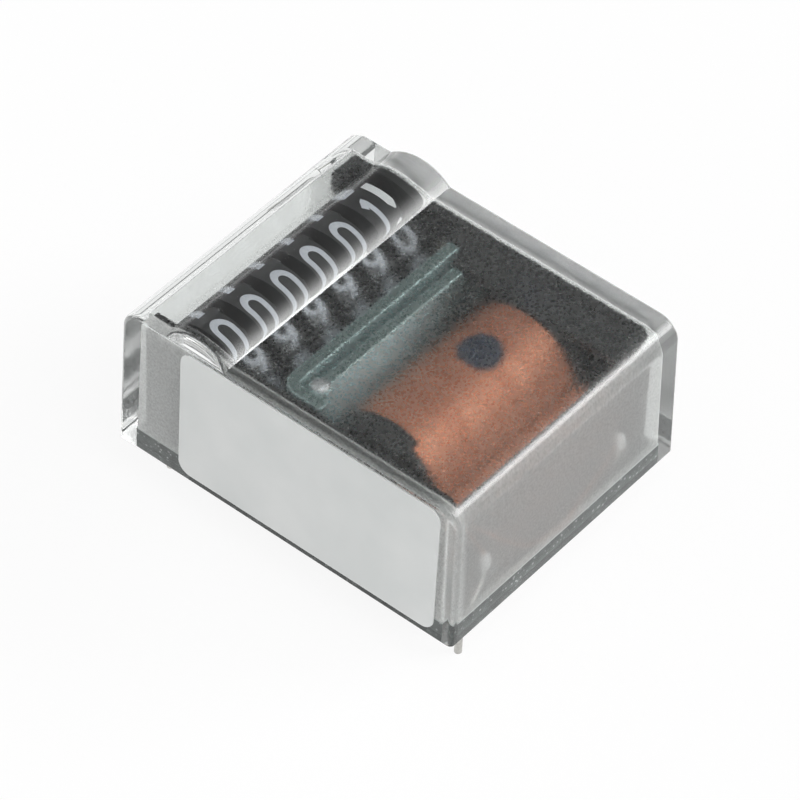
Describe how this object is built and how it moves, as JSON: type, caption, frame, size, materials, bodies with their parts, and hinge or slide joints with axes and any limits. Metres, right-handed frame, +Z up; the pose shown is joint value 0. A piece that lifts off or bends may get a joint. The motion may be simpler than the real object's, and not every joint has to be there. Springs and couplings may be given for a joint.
{
  "type": "electromechanical counter",
  "caption": "Sealed pulse counter for a circuit board: clear cover with a magnifying bar over number drums, and a magnet that steps them through an escapement.",
  "frame": {"origin": "centre of the cover's rim, on the face that stands on the board", "axes": "+X along the row of figures in reading direction, +Y from the coil terminals towards the figures, +Z up out of the board"},
  "size_m": [0.0263, 0.032, 0.0193],
  "materials": {
    "clear_cover": "clear moulded plastic, polished outside, frosted inside",
    "base": "dark grey moulding",
    "sealant": "cast grey resin with tiny bubbles",
    "label": "bare satin film",
    "black_moulding": "fine matt",
    "drum_black": "fine matt with pale printed figures",
    "pale_moulding": "natural moulding",
    "steel": "ground",
    "spring_steel": "bright drawn wire",
    "zinc_plate": "pale zinc plating",
    "enamelled_copper": "enamelled copper wire",
    "tinned": "tinned",
    "solder": "solidified solder"
  },
  "bodies": {
    "housing": {"cover": "clear_cover", "base_plate": "base", "seal_bead": "sealant", "label": "label", "chassis": "black_moulding", "drum_axle": "steel", "pinion_shaft": "steel", "verge_pin": "steel", "armature_pin": "steel", "return_spring": "spring_steel", "yoke": "zinc_plate", "core": "zinc_plate", "pole_shoe": "zinc_plate", "bobbin": "black_moulding", "coil_winding": "enamelled_copper", "pin_coil_a": "tinned", "pin_coil_b": "tinned", "pin_plain_a": "tinned", "pin_plain_b": "tinned", "solder_a": "solder", "solder_b": "solder", "lead_a": "enamelled_copper", "lead_b": "enamelled_copper"},
    "drum_units": {"drum_units": "drum_black", "escape_wheel": "drum_black"},
    "drum_tens": {"drum_tens": "drum_black"},
    "drum_hundreds": {"drum_hundreds": "drum_black"},
    "drum_thousands": {"drum_thousands": "drum_black"},
    "drum_ten_thousands": {"drum_ten_thousands": "drum_black"},
    "drum_hundred_thousands": {"drum_hundred_thousands": "drum_black"},
    "pinion_1": {"pinion_1": "pale_moulding"},
    "pinion_2": {"pinion_2": "pale_moulding"},
    "pinion_3": {"pinion_3": "pale_moulding"},
    "pinion_4": {"pinion_4": "pale_moulding"},
    "pinion_5": {"pinion_5": "pale_moulding"},
    "armature": {"armature": "zinc_plate"},
    "verge": {"verge": "pale_moulding"}
  },
  "joints": [
    {"name": "drum_turn", "type": "hinge", "parent": "housing", "child": "drum_units", "pos_m": [0, 0.0088, 0.007], "axis": [1, 0, 0], "continuous": true},
    {"name": "tens_turn", "type": "hinge", "parent": "housing", "child": "drum_tens", "pos_m": [0, 0.0088, 0.007], "axis": [1, 0, 0], "continuous": true},
    {"name": "hundreds_turn", "type": "hinge", "parent": "housing", "child": "drum_hundreds", "pos_m": [0, 0.0088, 0.007], "axis": [1, 0, 0], "continuous": true},
    {"name": "thousands_turn", "type": "hinge", "parent": "housing", "child": "drum_thousands", "pos_m": [0, 0.0088, 0.007], "axis": [1, 0, 0], "continuous": true},
    {"name": "ten_thousands_turn", "type": "hinge", "parent": "housing", "child": "drum_ten_thousands", "pos_m": [0, 0.0088, 0.007], "axis": [1, 0, 0], "continuous": true},
    {"name": "hundred_thousands_turn", "type": "hinge", "parent": "housing", "child": "drum_hundred_thousands", "pos_m": [0, 0.0088, 0.007], "axis": [1, 0, 0], "continuous": true},
    {"name": "pinion_1_turn", "type": "hinge", "parent": "housing", "child": "pinion_1", "pos_m": [0, 0.00512, 0.00319], "axis": [1, 0, 0], "continuous": true},
    {"name": "pinion_2_turn", "type": "hinge", "parent": "housing", "child": "pinion_2", "pos_m": [0, 0.00512, 0.00319], "axis": [1, 0, 0], "continuous": true},
    {"name": "pinion_3_turn", "type": "hinge", "parent": "housing", "child": "pinion_3", "pos_m": [0, 0.00512, 0.00319], "axis": [1, 0, 0], "continuous": true},
    {"name": "pinion_4_turn", "type": "hinge", "parent": "housing", "child": "pinion_4", "pos_m": [0, 0.00512, 0.00319], "axis": [1, 0, 0], "continuous": true},
    {"name": "pinion_5_turn", "type": "hinge", "parent": "housing", "child": "pinion_5", "pos_m": [0, 0.00512, 0.00319], "axis": [1, 0, 0], "continuous": true},
    {"name": "armature_hinge", "type": "hinge", "parent": "housing", "child": "armature", "pos_m": [-0.00845, 0.00055, 0.009], "axis": [0, 0, -1], "range_deg": [0, 2.4], "stiffness_Nm_per_rad": 0.001, "springref_deg": -11.46, "deforming": ["return_spring"]},
    {"name": "verge_hinge", "type": "hinge", "parent": "housing", "child": "verge", "pos_m": [0.0102, 0.00331, 0.007], "axis": [1, 0, 0], "range_deg": [0, 13.62]}
  ],
  "couplings": [
    {"joint": "tens_turn", "follows": "drum_turn", "ratio": 0.1},
    {"joint": "hundreds_turn", "follows": "drum_turn", "ratio": 0.01},
    {"joint": "thousands_turn", "follows": "drum_turn", "ratio": 0.001},
    {"joint": "ten_thousands_turn", "follows": "drum_turn", "ratio": 0.0001},
    {"joint": "hundred_thousands_turn", "follows": "drum_turn", "ratio": 0.00001},
    {"joint": "pinion_1_turn", "follows": "drum_turn", "ratio": -0.33333},
    {"joint": "pinion_2_turn", "follows": "drum_turn", "ratio": -0.033333},
    {"joint": "pinion_3_turn", "follows": "drum_turn", "ratio": -0.0033333},
    {"joint": "pinion_4_turn", "follows": "drum_turn", "ratio": -0.00033333},
    {"joint": "pinion_5_turn", "follows": "drum_turn", "ratio": -0.000033333},
    {"joint": "verge_hinge", "follows": "armature_hinge", "ratio": 5.67}
  ]
}
